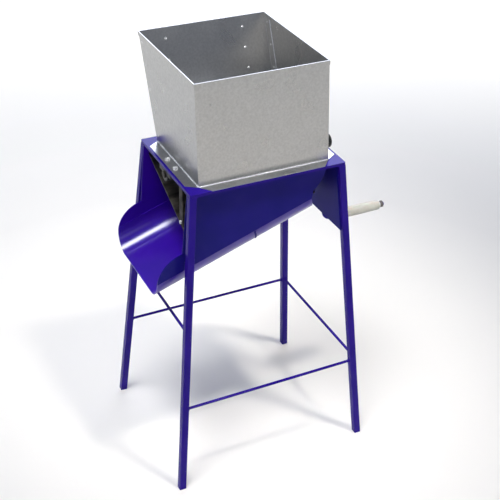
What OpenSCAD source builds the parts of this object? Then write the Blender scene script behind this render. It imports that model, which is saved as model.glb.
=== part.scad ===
// Hand-cranked beet mill on a four-legged stand.
// A galvanised hopper feeds a toothed drum that rubs roots against a sloping breast plate.
// The pulp drops into a sloping sheet trough and slides out to the left.
// +X runs along the drum shaft toward the crank, +Y to the back, +Z up.
// The origin lies on the floor in the middle of the machine's outer box.

/* [Stand] */
// outside width of the top frame along the shaft
frame_w = 450; // [400:1:520]
// outside depth of the top frame
frame_d = 343; // [320:1:400]
// height of the top frame's upper face above the floor
frame_h = 915; // [860:1:980]
// width of the flat bar in the top frame
bar_w = 40; // [36:1:50]
// thickness of the flat bar in the top frame
bar_t = 8; // [6:0.5:10]
// outside size of the square leg tube
leg_size = 20; // [18:1:25]
// wall of the leg tube
leg_wall = 2; // [1.5:0.5:3]
// corner radius of the leg tube
leg_round = 2.5; // [2:0.5:4]
// outward run of each leg along the shaft, top face to floor
splay_x = 76; // [50:1:95]
// outward run of each leg to the front or back, top face to floor
splay_y = 82; // [50:1:95]
// diameter of the round brace bars
brace_d = 8; // [6:0.5:12]
// height of the front brace
brace_front_h = 267; // [200:1:340]
// height of the back brace
brace_back_h = 285; // [200:1:340]
// height of the right brace
brace_right_h = 288; // [200:1:340]
// height of the left brace, raised to clear a bucket under the spout
brace_left_h = 510; // [420:1:540]

/* [Hopper] */
// thickness of the galvanised sheet
sheet_t = 1.2; // [1:0.1:2]
// inset of the hopper's side walls from the frame's ends
hopper_inset_x = 36.5; // [32:0.5:39]
// inset of the hopper's front and back walls from the frame's long sides
hopper_inset_y = 30.5; // [28:0.5:39]
// height of the hopper above the frame
hopper_h = 275; // [220:1:320]
// inward lean of the front wall at the rim
front_lean = 25; // [0:1:40]
// outward flare of the back wall at the rim
back_flare = 119; // [60:1:140]
// gap from the side flanges' edges to the frame's ends
flange_inset_x = 6.5; // [4:0.5:9]
// gap from the front and back flanges' edges to the frame's long sides
flange_inset_y = 0.5; // [0.5:0.5:6]
// setback of the mitred flange ends
flange_mitre = 20; // [12:1:28]
// depth of the folded hem at the rim
hem_h = 12; // [8:0.5:16]
// width of the corner tabs of the back sheet
tab_w = 32; // [24:1:40]
// rivets in each back corner
rivet_count = 5; // [3:1:6]
// distance of the top rivets under the rim and of the lowest over the frame
rivet_margin = 21; // [18:1:30]
// distance of the corner rivets from the back sheet
rivet_inset = 17; // [12:1:20]
// rivets in each of the back sheet's two columns
back_rivet_count = 3; // [2:1:4]
// distance of the back sheet's rivet columns from the machine's middle
back_rivet_reach = 115; // [90:1:140]
// distance of the back sheet's top rivets under the rim
back_rivet_drop = 30; // [24:1:40]
// spacing of the rivets in the back sheet's columns, measured upright
back_rivet_pitch = 52; // [40:1:60]
// shank diameter of the hopper rivets
rivet_d = 4; // [3:0.5:5]

/* [Chute] */
// thickness of the painted chute sheet
chute_t = 2; // [1.5:0.25:3]
// gap between the chute walls and the legs' inner faces at the frame
chute_gap = 0.5; // [0.5:0.5:6]
// slope of the trough in degrees
chute_slope = 19.3; // [14:0.1:22]
// drop of the trough's outer bottom under the frame's top, in the middle of the machine
chute_drop = 204; // [200:1:225]
// outside radius of the trough's two long bends
trough_round = 50; // [40:1:60]
// lap of the trough edges inside the flat walls
trough_lap = 10; // [6:1:16]
// reach of the spout beyond the frame's left end
spout_overhang = 87; // [60:1:110]
// corner radius of the walls at the spout
spout_round = 90; // [70:1:100]
// drop of the spout corners' centres under the trough's bottom at the middle
spout_drop = 66; // [56:1:72]
// setback of the trough's square end from the walls' right end, at the crease
trough_setback = 39; // [28:1:50]
// corner radius of the walls at the crank side
wall_round = 86; // [70:1:95]
// gap from the flat walls' right end to the frame's right end
wall_inset = 47; // [43:1:55]
// place of the trough's ring weld left of the machine's middle
seam_reach = 14; // [0:1:60]
// width of the ring weld
seam_w = 6; // [4:0.5:10]
// height of the ring weld over the sheet
seam_t = 1; // [0.6:0.1:2]

/* [Plates] */
// thickness of the right end plate
end_plate_t = 4; // [3:0.5:6]
// drop of the end plate's lower edge under the frame's top
end_plate_drop = 206; // [170:1:225]
// thickness of the breast plate
breast_t = 5; // [4:0.5:8]
// drop of the breast plate's back edge under the frame's lower face
breast_back_drop = 25; // [25:0.5:32]
// gap between tooth tips and breast plate
breast_gap = 5; // [4:0.5:8]
// reach of the breast plate's front edge before the shaft, at the left
breast_reach_left = 112; // [100:1:116]
// reach of the breast plate's front edge before the shaft, at the right
breast_reach_right = 74; // [70:1:80]
// gap between the breast plate's right edge and the end plate
plate_gap = 8; // [5:0.5:12]
// rise of the bolts in the breast plate's upturned tabs
tab_rise = 20; // [18:1:24]
// distance of the outer back bolts from the machine's middle
back_bolt_reach = 110; // [80:1:130]
// gap from the breast plate's back lip to the walls' ends
lip_inset = 30; // [20:1:40]
// width of the hanger bars that hold the breast plate
hanger_w = 22; // [20:1:26]
// thickness of the hanger bars
hanger_t = 5; // [4:0.5:6]
// inset of the left hanger's inner face from the frame's left end
hanger_inset = 13; // [11:0.5:18]
// gap between the right hanger and the bearing block
hanger_gap = 7; // [4:0.5:10]
// thickness of the front guide plate
guide_t = 3; // [2:0.5:4]
// gap between tooth tips and the front guide's lower edge
guide_gap = 10; // [7:0.5:14]

/* [Drum] */
// diameter of the drum shaft
shaft_d = 20; // [18:1:22]
// distance of the shaft axis under the frame's lower face
shaft_drop = 15; // [14:0.5:18]
// radius of the tooth tips
tooth_r = 66; // [62:1:70]
// outside radius of the drum tube
drum_r = 50; // [46:1:52]
// wall of the drum tube
drum_wall = 4; // [3:0.5:6]
// gap between the frame's inner edge and the drum's left end
drum_gap_left = 19; // [15:1:35]
// gap between the frame's inner edge and the drum's right end
drum_gap_right = 31; // [27:1:45]
// thickness of the drum's end discs
disc_t = 5; // [4:0.5:8]
// length of the stop collar outside the right bearing
collar_l = 12; // [8:1:16]
// number of toothed knives
knife_count = 6; // [4:1:8]
// thickness of a knife
knife_t = 4; // [3:0.5:5]
// spacing of the knife teeth
tooth_pitch = 16; // [12:1:22]
// depth of the knife teeth
tooth_depth = 7; // [5:0.5:9]
// screws in each knife
knife_screw_count = 4; // [3:1:6]
// radial play of the shaft in its bearings
bearing_play = 0.05; // [0.03:0.01:0.1]
// radial gap where parts are welded or clamped on the shaft
seat_gap = 0.02; // [0.01:0.01:0.05]

/* [Bearings] */
// length of a bearing block along the shaft
block_l = 40; // [32:1:40]
// width of a bearing block across the shaft
block_w = 84; // [78:1:92]
// thickness of a bearing block's foot
block_foot = 12; // [10:0.5:13]
// wall of the bearing around the shaft
block_wall = 9; // [7:0.5:11]
// distance between the two bolts of a block
bolt_span = 54; // [52:1:60]
// diameter of the bearing bolts
bolt_d = 8; // [6:1:10]

/* [Crank] */
// distance from shaft axis to grip axis
crank_r = 237; // [200:1:250]
// forward tilt of the hanging crank in degrees
crank_tilt = 6.5; // [0:0.5:20]
// diameter of the crank bar
crank_d = 16; // [14:1:18]
// gap between the stop collar and the crank hub
hub_gap = 7.5; // [4:0.5:20]
// bend radius of the crank bar's middle line
crank_bend = 16; // [12:1:24]
// outside diameter of the crank hub
hub_d = 40; // [34:1:44]
// length of the crank hub
hub_l = 26; // [22:1:28]
// straight run of the crank bar between its bend and the grip
grip_run = 44; // [30:1:60]
// length of the grip
grip_l = 121; // [100:1:140]
// grip diameter at its inner end
grip_d = 32; // [28:1:36]
// grip diameter at its outer end
grip_end_d = 29; // [26:1:32]
// diameter of the turned spindle inside the grip
spindle_d = 12; // [10:1:13]
// radial play of the grip on its spindle
grip_play = 0.08; // [0.05:0.01:0.1]
// thickness of the grip's washer
washer_t = 2.5; // [1.5:0.5:4]
// end play of the grip
grip_end_play = 0.5; // [0.4:0.1:1]

/* [Fasteners] */
// thickness of the bolt heads as a share of their shank
head_share = 0.65; // [0.5:0.05:0.8]
// width across flats of the bolt heads as a share of their shank
flats_share = 1.6; // [1.5:0.05:1.8]
// gap between a bolt shank and its hole, on the radius
hole_gap = 0.3; // [0.2:0.05:0.6]
// gap between sheets that lie on each other
sheet_gap = 0.1; // [0.05:0.05:0.2]
// diameter of the small screws on knives, hub and collar
screw_d = 5; // [4:0.5:6]
// diameter of the bolts that hold the breast plate
plate_bolt_d = 6; // [5:0.5:8]

/* [Output] */
// which sub-part to show

/* [Hidden] */
$fn = 64;
eps = 0.01;
far = 2000;
blue = [0.24, 0.10, 0.62];
zinc = [0.66, 0.66, 0.64];
steel = [0.45, 0.46, 0.47];
bright = [0.78, 0.78, 0.78];
black = [0.03, 0.03, 0.03];
cream = [0.91, 0.89, 0.82];

frame_under = frame_h - bar_t;
lean_x = splay_x / frame_h;
lean_y = splay_y / frame_h;
leg_run = leg_size / 2 / cos(atan(lean_x));
rim_h = frame_h + hopper_h;
hem_z = rim_h - hem_h;
hopper_w = frame_w - 2 * hopper_inset_x;
hopper_base_d = frame_d - 2 * hopper_inset_y;
hopper_side = hopper_w / 2;
hopper_half = hopper_base_d / 2;
side_flange_w = hopper_inset_x - flange_inset_x;
front_flange_w = hopper_inset_y - flange_inset_y;
front_run = sheet_t / cos(atan2(front_lean, hopper_h));
back_run = sheet_t / cos(atan2(back_flare, hopper_h));

shaft_h = frame_under - shaft_drop;
bearing_x = frame_w / 2 - bar_w / 2;
block_r = shaft_d / 2 + block_wall;
boss_end = bearing_x - block_l / 2 - 2;
collar_start = bearing_x + block_l / 2 + 0.5;
crank_x = collar_start + collar_l + hub_gap + hub_l / 2;
drum_left = frame_w / 2 - bar_w - drum_gap_left;
drum_right = frame_w / 2 - bar_w - drum_gap_right;

chute_w = frame_d - 2 * leg_size - 2 * chute_gap;
chute_mid_h = frame_h - chute_drop;
spout_reach = frame_w / 2 + spout_overhang;
wall_reach = frame_w / 2 - wall_inset;
trough_end = wall_reach - trough_setback;
end_plate_h = frame_h - end_plate_drop;
trough_half = chute_w / 2 - chute_t - sheet_gap;
crease_z = trough_round;
seam_s = -seam_reach / cos(chute_slope);
trough_end_h = chute_mid_h + trough_end * tan(chute_slope) + crease_z / cos(chute_slope);
lip_x = spout_round - spout_reach;
lip_z = chute_mid_h - spout_drop;

breast_dist = tooth_r + breast_gap;
breast_left = frame_w / 2 - hanger_inset;
breast_right = frame_w / 2 - leg_size - end_plate_t - plate_gap;
breast_back = chute_w / 2 - chute_t - sheet_gap;
breast_sink = breast_back_drop - shaft_drop;
breast_slope = asin(breast_dist / norm([breast_back, breast_sink])) - atan2(breast_sink, breast_back);
breast_front_left = -breast_reach_left;
breast_front_right = -breast_reach_right;
hanger_left_y = breast_front_left + hanger_w;
hanger_right_y = -block_w / 2 - hanger_w / 2 - hanger_gap;

knife_x0 = disc_t - drum_left;
knife_x1 = drum_right - disc_t;
knife_low = drum_r + 0.3;
rib_high = drum_r + 11;
screw_r = drum_r + 5.5;
tooth_count = floor((knife_x1 - knife_x0 - 2) / tooth_pitch);
tooth_x0 = (knife_x0 + knife_x1 - tooth_count * tooth_pitch) / 2;

grip_start = crank_x + crank_bend + grip_run;
grip_end = grip_start + grip_l;
grip_nut_t = spindle_d * 0.8;
spindle_end = grip_end + grip_end_play + washer_t + grip_nut_t + 4;
rim_back = hopper_half + back_flare + 2 * back_run;
foot_out = frame_d / 2 + splay_y + leg_size / 2 * (1 / cos(atan(lean_y)) - 1);
box_mid_x = (spindle_end - spout_reach) / 2;
box_mid_y = (max(rim_back, foot_out) - foot_out) / 2;

function leg_mid(half, run, z) = half - leg_size / 2 + run * (frame_h - z) / frame_h;
function front_y(z) = -hopper_half + front_lean * (z - frame_h) / hopper_h;
function back_y(z) = hopper_half + back_flare * (z - frame_h) / hopper_h;
function breast_z(y) = shaft_h + y * tan(breast_slope) - breast_dist / cos(breast_slope);
function along_breast(y) = y / cos(breast_slope) - breast_dist * tan(breast_slope);
function knife_angle(k) = 360 * k / knife_count + 15;

module placed() {
    translate([-box_mid_x, -box_mid_y, 0]) children();
}

// A prism whose outline is drawn in the side view, Y to the right and Z up.
module side_prism(x0, x1) {
    translate([x0, 0, 0]) rotate([90, 0, 90]) linear_extrude(x1 - x0) children();
}

// A prism whose outline is drawn in the front view, X to the right and Z up.
module front_prism(y0, y1) {
    translate([0, y1, 0]) rotate([90, 0, 0]) linear_extrude(y1 - y0) children();
}

// What follows is made on the right and mirrored to the left.
module both_sides() {
    children();
    mirror([1, 0, 0]) children();
}

module rod_x(x0, x1, r) {
    translate([x0, 0, 0]) rotate([0, 90, 0]) cylinder(r = r, h = x1 - x0);
}

module hex_prism(flats, h) {
    cylinder(d = flats / cos(30), h = h, $fn = 6);
}

// A bolt that stands on its head's seat: shank downward, head upward.
module bolt(d, shank) {
    translate([0, 0, -shank]) cylinder(d = d, h = shank + eps);
    hex_prism(d * flats_share, d * head_share);
}

// A nut whose seat lies at the origin and whose body hangs below it.
module nut(d) {
    translate([0, 0, -d * 0.8]) difference() {
        hex_prism(d * flats_share, d * 0.8);
        translate([0, 0, -1]) cylinder(r = d / 2 + seat_gap, h = d + 2);
    }
}

module rounded_rect(w, d, r) {
    square([w - 2 * r, d], center = true);
    square([w, d - 2 * r], center = true);
    for (sx = [-1, 1], sy = [-1, 1])
        translate([sx * (w / 2 - r), sy * (d / 2 - r)]) circle(r);
}

// Stand

module leg_bar(sx, sy, hollow) {
    len = norm([splay_x, splay_y, frame_h]);
    tip_x = asin(sy * splay_y / len);
    tip_y = -atan2(sx * splay_x, frame_h);
    inner = leg_size - 2 * leg_wall;
    intersection() {
        translate([sx * leg_mid(frame_w / 2, splay_x, 0), sy * leg_mid(frame_d / 2, splay_y, 0), 0])
            rotate([tip_x, tip_y, 0])
                translate([0, 0, -2 * leg_size]) linear_extrude(len + 4 * leg_size) difference() {
                    rounded_rect(leg_size, leg_size, leg_round);
                    if (hollow) rounded_rect(inner, inner, leg_round * 0.4);
                }
        translate([-far / 2, -far / 2, 0]) cube([far, far, frame_under]);
    }
}

module leg(sx, sy) {
    color(blue) placed() leg_bar(sx, sy, true);
}

module leg_front_left() {
    leg(-1, -1);
}

module leg_front_right() {
    leg(1, -1);
}

module leg_back_left() {
    leg(-1, 1);
}

module leg_back_right() {
    leg(1, 1);
}

module brace_along_x(sy, z) {
    reach = leg_mid(frame_w / 2, splay_x, z);
    color(blue) placed() difference() {
        translate([0, sy * leg_mid(frame_d / 2, splay_y, z), z]) rod_x(-reach, reach, brace_d / 2);
        leg_bar(-1, sy, false);
        leg_bar(1, sy, false);
    }
}

module brace_along_y(sx, z) {
    reach = leg_mid(frame_d / 2, splay_y, z);
    color(blue) placed() difference() {
        translate([sx * leg_mid(frame_w / 2, splay_x, z), -reach, z])
            rotate([-90, 0, 0]) cylinder(d = brace_d, h = 2 * reach);
        leg_bar(sx, -1, false);
        leg_bar(sx, 1, false);
    }
}

module brace_front() {
    brace_along_x(-1, brace_front_h);
}

module brace_back() {
    brace_along_x(1, brace_back_h);
}

module brace_left() {
    brace_along_y(-1, brace_left_h);
}

module brace_right() {
    brace_along_y(1, brace_right_h);
}

module at_bearing_bolts(z) {
    for (sx = [-1, 1], sy = [-1, 1]) translate([sx * bearing_x, sy * bolt_span / 2, z]) children();
}

module bearing_bolt_holes() {
    at_bearing_bolts(0) cylinder(r = bolt_d / 2 + hole_gap, h = far);
}

module top_frame() {
    color(blue) placed() difference() {
        translate([0, 0, frame_under]) linear_extrude(bar_t) difference() {
            rounded_rect(frame_w, frame_d, 3);
            square([frame_w - 2 * bar_w, frame_d - 2 * bar_w], center = true);
        }
        bearing_bolt_holes();
    }
}

// Hopper

module hopper_side_outline(z0, z1) {
    polygon([[front_y(z0), z0], [back_y(z0), z0], [back_y(z1), z1], [front_y(z1), z1]]);
}

module slanted_strip(y0, y1, z0, z1, run) {
    polygon([[y0, z0], [y0 + run, z0], [y1 + run, z1], [y1, z1]]);
}

// A mitred flange that runs along X and reaches out to the front.
module base_flange(length, width, mitre, root) {
    half = length / 2;
    linear_extrude(sheet_t) polygon([[-half, 0], [-half, root], [half, root], [half, 0],
        [half - mitre, -width], [mitre - half, -width]]);
}

module at_corner_rivets() {
    both_sides() for (i = [0 : rivet_count - 1]) {
        z = frame_h + rivet_margin + (hopper_h - 2 * rivet_margin) * i / (rivet_count - 1);
        translate([hopper_side, back_y(z) - rivet_inset, z]) rotate([0, 90, 0]) children();
    }
}

module at_back_rivets() {
    both_sides() for (i = [0 : back_rivet_count - 1]) {
        z = rim_h - back_rivet_drop - back_rivet_pitch * i;
        translate([back_rivet_reach, back_y(z) + back_run, z])
            rotate([-90 - atan2(back_flare, hopper_h), 0, 0]) children();
    }
}

module rivet_hole() {
    translate([0, 0, -4 * sheet_t]) cylinder(r = rivet_d / 2 + seat_gap, h = 8 * sheet_t);
}

module hopper_shell() {
    color(zinc) placed() difference() {
        union() {
            both_sides() {
                side_prism(hopper_side - sheet_t, hopper_side) hopper_side_outline(frame_h, rim_h);
                side_prism(hopper_side - eps, hopper_side + sheet_t) hopper_side_outline(hem_z, rim_h);
                translate([hopper_side, 0, frame_h]) rotate(90)
                    base_flange(hopper_base_d, side_flange_w, flange_mitre, sheet_t);
            }
            side_prism(-hopper_side, hopper_side)
                slanted_strip(front_y(frame_h), front_y(rim_h), frame_h, rim_h, front_run);
            side_prism(-hopper_side - sheet_t, hopper_side + sheet_t)
                slanted_strip(front_y(hem_z) - front_run, front_y(rim_h) - front_run,
                    hem_z, rim_h, front_run + eps);
            translate([0, -hopper_half, frame_h])
                base_flange(hopper_w, front_flange_w, flange_mitre * 1.3, sheet_t);
        }
        bearing_bolt_holes();
        at_corner_rivets() rivet_hole();
    }
}

module hopper_back() {
    tab_x = hopper_side - sheet_t - sheet_gap;
    low = frame_h + 2 * sheet_t;
    high = rim_h - 1;
    color(zinc) placed() difference() {
        union() {
            side_prism(-hopper_side, hopper_side)
                slanted_strip(back_y(frame_h), back_y(rim_h), frame_h, rim_h, back_run);
            side_prism(-hopper_side - sheet_t, hopper_side + sheet_t)
                slanted_strip(back_y(hem_z) + back_run - eps, back_y(rim_h) + back_run - eps,
                    hem_z, rim_h, back_run);
            both_sides() side_prism(tab_x - sheet_t, tab_x)
                polygon([[back_y(low) + sheet_t / 2, low], [back_y(high) + sheet_t / 2, high],
                    [back_y(high) - tab_w, high - 8], [back_y(low) - tab_w, low + 8]]);
            translate([0, hopper_half, frame_h]) rotate(180)
                base_flange(hopper_w, front_flange_w, flange_mitre * 1.3, 0);
        }
        at_corner_rivets() rivet_hole();
        at_back_rivets() rivet_hole();
    }
}

module rivet_head() {
    cylinder(r1 = rivet_d * 0.95, r2 = rivet_d * 0.5, h = rivet_d * 0.4);
}

// A set rivet through sheets of the given depth, with its outer seat at the origin.
module rivet(depth) {
    translate([0, 0, -depth - eps]) cylinder(d = rivet_d, h = depth + 2 * eps);
    rivet_head();
    translate([0, 0, -depth]) rotate([180, 0, 0]) rivet_head();
}

module hopper_rivets() {
    color(bright) placed() {
        at_corner_rivets() rivet(2 * sheet_t + sheet_gap);
        at_back_rivets() rivet(sheet_t);
    }
}

// Chute

module in_slope() {
    translate([0, 0, chute_mid_h]) rotate([0, -chute_slope, 0]) children();
}

// The trough cut square to its slope: flat bottom, two long bends and upright edges.
module trough_outline(half, r, floor_z, top_z) {
    intersection() {
        union() {
            translate([-half, floor_z + r]) square([2 * half, top_z]);
            translate([r - half, floor_z]) square([2 * half - 2 * r, top_z]);
            for (s = [-1, 1]) translate([s * (half - r), floor_z + r]) circle(r);
        }
        translate([-half, floor_z]) square([2 * half, top_z - floor_z]);
    }
}

// The chute seen from the front.
// Its outline runs round the spout, up the left legs, round the wall corner and down the trough's end.
module chute_outline() {
    spout = [for (a = [180 : -6 : 90]) [lip_x + spout_round * cos(a), lip_z + spout_round * sin(a)]];
    leg_edge = [for (z = [lip_z + spout_round, frame_under]) [-frame_w / 2 - lean_x * (frame_h - z), z]];
    corner = [for (a = [0 : -6 : -54])
        [wall_reach - wall_round + wall_round * cos(a), frame_under + wall_round * sin(a)]];
    end = [[trough_end, trough_end_h],
        [trough_end + trough_end_h * tan(chute_slope), 0], [-spout_reach, 0]];
    polygon(concat(spout, leg_edge, corner, end));
}

module chute_wall(y0) {
    intersection() {
        front_prism(y0, y0 + chute_t) chute_outline();
        in_slope() translate([-far / 2, -far / 2, crease_z]) cube([far, far, far]);
    }
}

module chute_front_wall() {
    color(blue) placed() chute_wall(-chute_w / 2);
}

module chute_back_wall() {
    color(blue) placed() difference() {
        chute_wall(chute_w / 2 - chute_t);
        at_back_bolts() plate_bolt_hole();
    }
}

module trough_section(s0, s1) {
    color(blue) placed() intersection() {
        in_slope() side_prism(s0, s1) difference() {
            trough_outline(trough_half, trough_round, 0, crease_z + trough_lap);
            trough_outline(trough_half - chute_t, trough_round - chute_t,
                chute_t, crease_z + trough_lap + 1);
        }
        front_prism(-chute_w, chute_w) chute_outline();
    }
}

module trough_head() {
    trough_section(seam_s, far / 4);
}

module trough_spout() {
    trough_section(-far / 4, seam_s);
}

module trough_seam() {
    color(blue) placed() in_slope() side_prism(seam_s - seam_w / 2, seam_s + seam_w / 2) difference() {
        trough_outline(trough_half + seam_t, trough_round + seam_t, -seam_t, crease_z + 1);
        trough_outline(trough_half, trough_round, 0, crease_z + 2);
        translate([-far / 2, crease_z - 2]) square([far, far]);
    }
}

// Plates around the drum

module right_end_plate() {
    top_x = leg_mid(frame_w / 2, splay_x, frame_under) - leg_run - sheet_gap;
    low_x = leg_mid(frame_w / 2, splay_x, end_plate_h) - leg_run - sheet_gap;
    top_y = leg_mid(frame_d / 2, splay_y, frame_under);
    low_y = leg_mid(frame_d / 2, splay_y, end_plate_h);
    color(blue) placed() intersection() {
        front_prism(-far / 2, far / 2) polygon([[top_x - end_plate_t, frame_under], [top_x, frame_under],
            [low_x, end_plate_h], [low_x - end_plate_t, end_plate_h]]);
        side_prism(0, far / 2) difference() {
            polygon([[-low_y, end_plate_h], [low_y, end_plate_h],
                [top_y, frame_under], [-top_y, frame_under]]);
            translate([-block_w / 2 - 4, shaft_h - block_r - 4]) square([block_w + 8, far]);
        }
    }
}

// What follows lies on the breast plate's upper face.
// Y runs up its slope, and the shaft lies straight over the origin.
module on_breast() {
    translate([0, 0, shaft_h]) rotate([breast_slope, 0, 0]) translate([0, 0, -breast_dist]) children();
}

module plate_bolt_hole() {
    translate([0, 0, -4 * hanger_t]) cylinder(r = plate_bolt_d / 2 + hole_gap, h = 8 * hanger_t);
}

module at_hanger_bolts() {
    translate([-breast_left - hanger_t, hanger_left_y, breast_z(hanger_left_y) + tab_rise])
        rotate([0, -90, 0]) children();
    translate([breast_right + hanger_t, hanger_right_y, breast_z(hanger_right_y) + tab_rise])
        rotate([0, 90, 0]) children();
}

module at_back_bolts() {
    for (x = [-back_bolt_reach, 0, back_bolt_reach])
        translate([x, chute_w / 2, breast_z(breast_back) + tab_rise * 0.65]) rotate([-90, 0, 0]) children();
}

module hanger_bolt_holes() {
    at_hanger_bolts() plate_bolt_hole();
}

module breast_tab(x, y) {
    translate([x, y - hanger_w / 2, breast_z(y) - 2]) cube([hanger_t, hanger_w, tab_rise + 14]);
}

module breast_plate() {
    color(steel) placed() difference() {
        union() {
            intersection() {
                on_breast() translate([0, 0, -breast_t]) linear_extrude(breast_t)
                    polygon([[-breast_left, along_breast(breast_front_left)],
                        [breast_right, along_breast(breast_front_right)],
                        [breast_right, along_breast(breast_back + 20)],
                        [-breast_left, along_breast(breast_back + 20)]]);
                translate([-far / 2, breast_back - far, 0]) cube([far, far, far]);
            }
            translate([lip_inset - wall_reach, breast_back - hanger_t, breast_z(breast_back) - 4])
                cube([2 * wall_reach - 2 * lip_inset, hanger_t, tab_rise + 8]);
            breast_tab(-breast_left, hanger_left_y);
            breast_tab(breast_right - hanger_t, hanger_right_y);
        }
        hanger_bolt_holes();
        at_back_bolts() plate_bolt_hole();
    }
}

module hanger(x, y) {
    low = breast_z(y) + 8;
    color(steel) placed() difference() {
        translate([x, y - hanger_w / 2, low]) cube([hanger_t, hanger_w, frame_under - low]);
        hanger_bolt_holes();
    }
}

module hanger_left() {
    hanger(-breast_left - hanger_t, hanger_left_y);
}

module hanger_right() {
    hanger(breast_right, hanger_right_y);
}

module breast_bolts() {
    color(bright) placed() {
        at_hanger_bolts() bolt(plate_bolt_d, 2 * hanger_t + plate_bolt_d);
        at_back_bolts() bolt(plate_bolt_d, chute_t + sheet_gap + hanger_t + plate_bolt_d);
    }
}

module breast_nuts() {
    color(bright) placed() {
        at_hanger_bolts() translate([0, 0, -2 * hanger_t]) nut(plate_bolt_d);
        at_back_bolts() translate([0, 0, -chute_t - sheet_gap - hanger_t]) nut(plate_bolt_d);
    }
}

module front_guide() {
    reach = tooth_r + guide_gap;
    edge_y = -reach * cos(18);
    edge_z = shaft_h - reach * sin(18);
    inner = bar_w - frame_d / 2;
    outer = chute_t + 3 - chute_w / 2;
    color(steel) placed() side_prism(-wall_reach, wall_reach)
        polygon([[outer, frame_under], [inner, frame_under], [edge_y, edge_z], [edge_y - guide_t, edge_z],
            [inner - 2, frame_under - guide_t], [outer, frame_under - guide_t]]);
}

// Bearings

module bearing(sx) {
    color(steel) placed() translate([sx * bearing_x, 0, 0]) difference() {
        union() {
            translate([0, 0, frame_under - block_foot]) linear_extrude(block_foot)
                rounded_rect(block_l, block_w, 8);
            translate([0, 0, shaft_h]) rod_x(-block_l / 2, block_l / 2, block_r);
            translate([-block_l / 2, -block_r, shaft_h]) cube([block_l, 2 * block_r, shaft_drop]);
        }
        translate([0, 0, shaft_h]) rod_x(-block_l, block_l, shaft_d / 2 + bearing_play);
        for (sy = [-1, 1]) translate([0, sy * bolt_span / 2, 0])
            cylinder(r = bolt_d / 2 + hole_gap, h = far);
        translate([-far / 2, -far / 2, frame_under]) cube([far, far, far]);
    }
}

module bearing_left() {
    bearing(-1);
}

module bearing_right() {
    bearing(1);
}

module bearing_bolts() {
    color(bright) placed() at_bearing_bolts(frame_h + sheet_t)
        bolt(bolt_d, sheet_t + bar_t + block_foot + bolt_d * 1.1);
}

module bearing_nuts() {
    color(bright) placed() at_bearing_bolts(frame_under - block_foot) nut(bolt_d);
}

// Drum

module on_shaft() {
    placed() translate([0, 0, shaft_h]) children();
}

module shaft() {
    color(steel) on_shaft() rod_x(-bearing_x - block_l / 2 - 4, crank_x + hub_l / 2 + 2, shaft_d / 2);
}

module seat_bore() {
    rod_x(-far, far, shaft_d / 2 + seat_gap);
}

module shaft_collar() {
    color(steel) on_shaft() difference() {
        rod_x(collar_start, collar_start + collar_l, shaft_d * 0.8);
        seat_bore();
        translate([collar_start + collar_l / 2, 0, 0]) rotate([-90, 0, 0])
            cylinder(r = screw_d / 2 + seat_gap, h = far);
    }
}

module collar_screw() {
    color(bright) on_shaft() translate([collar_start + collar_l / 2, shaft_d * 0.8 + 0.5, 0])
        rotate([-90, 0, 0]) bolt(screw_d, shaft_d * 0.3 + 0.4);
}

module drum_disc(x0, x1, boss0, boss1) {
    color(steel) on_shaft() difference() {
        union() {
            rod_x(x0, x1, (drum_r + tooth_r) / 2 + 2);
            rod_x(boss0, boss1, shaft_d * 0.9);
        }
        seat_bore();
        for (k = [0 : knife_count - 1]) rotate([knife_angle(k) + 30, 0, 0])
            translate([0, 0, drum_r * 0.66]) rod_x(-far, far, drum_r * 0.13);
    }
}

module drum_disc_left() {
    drum_disc(-drum_left, disc_t - drum_left, -boss_end, -drum_left + eps);
}

module drum_disc_right() {
    drum_disc(drum_right - disc_t, drum_right, drum_right - eps, boss_end);
}

// What follows is made on every knife: X along the drum, Z outward, Y against the turning direction.
module at_knives() {
    for (k = [0 : knife_count - 1]) rotate([knife_angle(k), 0, 0]) children();
}

module at_knife_screws() {
    step = floor((tooth_count - 1) / (knife_screw_count - 1));
    for (i = [0 : knife_screw_count - 1])
        translate([tooth_x0 + tooth_pitch * (i * step + 0.5), -knife_t, screw_r])
            rotate([90, 0, 0]) children();
}

module drum_shell() {
    color(steel) on_shaft() difference() {
        union() {
            rod_x(knife_x0, knife_x1, drum_r);
            at_knives() translate([knife_x0, 0, drum_r - 3])
                cube([knife_x1 - knife_x0, 8, rib_high - drum_r + 3]);
        }
        rod_x(-far, far, drum_r - drum_wall);
        at_knives() at_knife_screws() translate([0, 0, -12 - knife_t])
            cylinder(r = screw_d / 2 + seat_gap, h = 12 + knife_t);
    }
}

// Toothed edge: blunt teeth with narrow notches between them.
module knife_outline() {
    root = tooth_r - tooth_depth;
    teeth = [for (i = [0 : tooth_count - 1])
        for (p = [[0.05, root], [0.4, tooth_r], [0.6, tooth_r], [0.95, root]])
            [tooth_x0 + tooth_pitch * (i + p[0]), p[1]]];
    polygon(concat([[knife_x0 + 0.5, knife_low], [knife_x0 + 0.5, root]], teeth,
        [[knife_x1 - 0.5, root], [knife_x1 - 0.5, knife_low]]));
}

module knives() {
    color(bright) on_shaft() at_knives() difference() {
        front_prism(-knife_t, 0) knife_outline();
        at_knife_screws() translate([0, 0, -20]) cylinder(r = screw_d / 2 + seat_gap, h = 40);
    }
}

module knife_screws() {
    color(steel) on_shaft() at_knives() at_knife_screws() bolt(screw_d, knife_t + 7);
}

// Crank

module on_crank() {
    on_shaft() rotate([-crank_tilt, 0, 0]) children();
}

module crank_hub() {
    chamfer = 2;
    r = hub_d / 2;
    color(black) on_crank() difference() {
        translate([crank_x - hub_l / 2, 0, 0]) rotate([0, 90, 0]) rotate_extrude()
            polygon([[0, 0], [r - chamfer, 0], [r, chamfer],
                [r, hub_l - chamfer], [r - chamfer, hub_l], [0, hub_l]]);
        seat_bore();
        translate([crank_x, 0, 0]) rotate([-90, 0, 0]) cylinder(r = screw_d / 2 + seat_gap, h = far);
    }
}

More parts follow.
